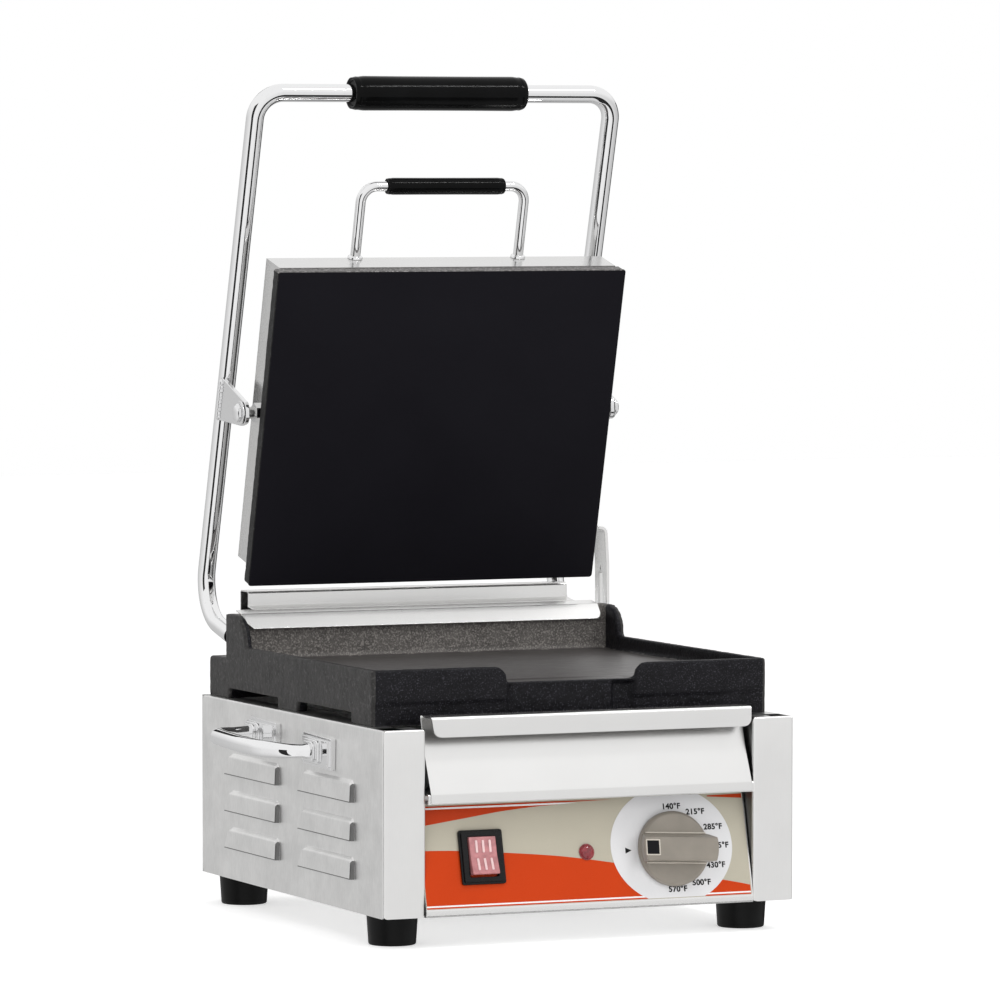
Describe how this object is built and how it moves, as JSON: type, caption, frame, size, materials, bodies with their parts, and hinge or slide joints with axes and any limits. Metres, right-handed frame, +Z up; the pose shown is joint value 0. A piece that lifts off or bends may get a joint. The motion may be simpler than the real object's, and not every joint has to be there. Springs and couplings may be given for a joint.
{
  "type": "panini press",
  "caption": "Contact grill with a cast-iron griddle, a self-levelling lid on a sprung handle frame, a grease tray, and a thermostat panel; shown open.",
  "frame": {"origin": "centre of the bounding box, on the surface the feet stand on", "axes": "+Z up, +X to the right of a person facing the controls, -Y towards that person"},
  "size_m": [0.3728, 0.3651, 0.557],
  "materials": {
    "side_panel": "satin brushed stainless steel",
    "bright_steel": "fine brushed stainless steel",
    "galvanised": "zinc coated sheet",
    "chrome": "polished chrome plate",
    "griddle_iron": "seasoned cast iron, sand-cast sides and machined plate",
    "plate_iron": "smooth black seasoned cast iron",
    "grip_rubber": "satin black grip sleeve",
    "foot_rubber": "matt black rubber",
    "screw_steel": "plain steel",
    "bronze": "sintered bronze",
    "copper_probe": "copper",
    "element_sheath": "heat-darkened steel sheath",
    "printed_panel": "printed plate, beige and orange",
    "black_plastic": "satin black plastic",
    "terminal_plastic": "pale nylon",
    "rocker_plastic": "translucent red plastic",
    "lamp_lens": "dark red translucent lens",
    "knob_plastic": "warm grey moulded plastic"
  },
  "bodies": {
    "base": {"side_panel_right": "side_panel", "side_panel_left": "side_panel", "rear_panel": "side_panel", "rear_panel_screws": "screw_steel", "bottom_pan": "side_panel", "feet": "foot_rubber", "foot_screws": "screw_steel", "side_handle_plates_right": "chrome", "side_handle_plates_left": "chrome", "side_handle_right": "chrome", "side_handle_left": "chrome", "side_handle_screws": "screw_steel", "control_panel": "bright_steel", "panel_overlay": "printed_panel", "switch_housing": "black_plastic", "pilot_lamp_lens": "lamp_lens", "pilot_lamp_body": "black_plastic", "thermostat_body": "black_plastic", "front_rail": "bright_steel", "tray_rails": "galvanised", "lower_griddle": "griddle_iron", "lower_element": "element_sheath", "lower_element_clamp": "galvanised", "sensor_bulb": "copper_probe", "griddle_bolts": "screw_steel", "splash_cap": "bright_steel", "hinge_cover": "bright_steel", "hinge_lugs": "screw_steel", "hinge_bushes": "bronze", "torsion_springs": "screw_steel", "guard_strip": "bright_steel", "guard_strip_screws": "screw_steel", "cable_gland": "black_plastic", "terminal_block": "terminal_plastic"},
    "arms": {"handle_frame": "chrome", "hinge_hubs": "chrome", "hinge_shaft": "screw_steel", "main_grip": "grip_rubber", "pivot_brackets": "chrome"},
    "lid": {"upper_plate": "plate_iron", "upper_cover": "bright_steel", "upper_element": "element_sheath", "upper_element_clamp": "galvanised", "lid_handle": "chrome", "lid_grip": "grip_rubber", "pivot_bolts": "chrome", "pivot_nuts": "chrome", "cover_screws": "screw_steel", "lid_gland": "black_plastic"},
    "tray": {"grease_tray": "bright_steel"},
    "knob": {"control_knob": "knob_plastic", "knob_pointer": "black_plastic", "thermostat_shaft": "screw_steel"},
    "rocker": {"switch_rocker": "rocker_plastic"}
  },
  "joints": [
    {"name": "arm_hinge", "type": "hinge", "parent": "base", "child": "arms", "pos_m": [0, 0.12731, 0.177], "axis": [1, 0, 0], "range_deg": [0, 72], "stiffness_Nm_per_rad": 3.3, "springref_deg": -57.3},
    {"name": "lid_tilt", "type": "hinge", "parent": "arms", "child": "lid", "pos_m": [0, 0.09712, 0.33198], "axis": [1, 0, 0], "range_deg": [-1, 7]},
    {"name": "tray_slide", "type": "slide", "parent": "base", "child": "tray", "axis": [0, -1, 0], "range_m": [0, 0.18]},
    {"name": "knob_turn", "type": "hinge", "parent": "base", "child": "knob", "pos_m": [0.0594, -0.16385, 0.05595], "axis": [0, 0.9711, -0.2385], "range_deg": [0, 270]},
    {"name": "rocker_tip", "type": "hinge", "parent": "base", "child": "rocker", "pos_m": [-0.075, -0.16375, 0.05634], "axis": [1, 0, 0], "range_deg": [0, 12]}
  ]
}
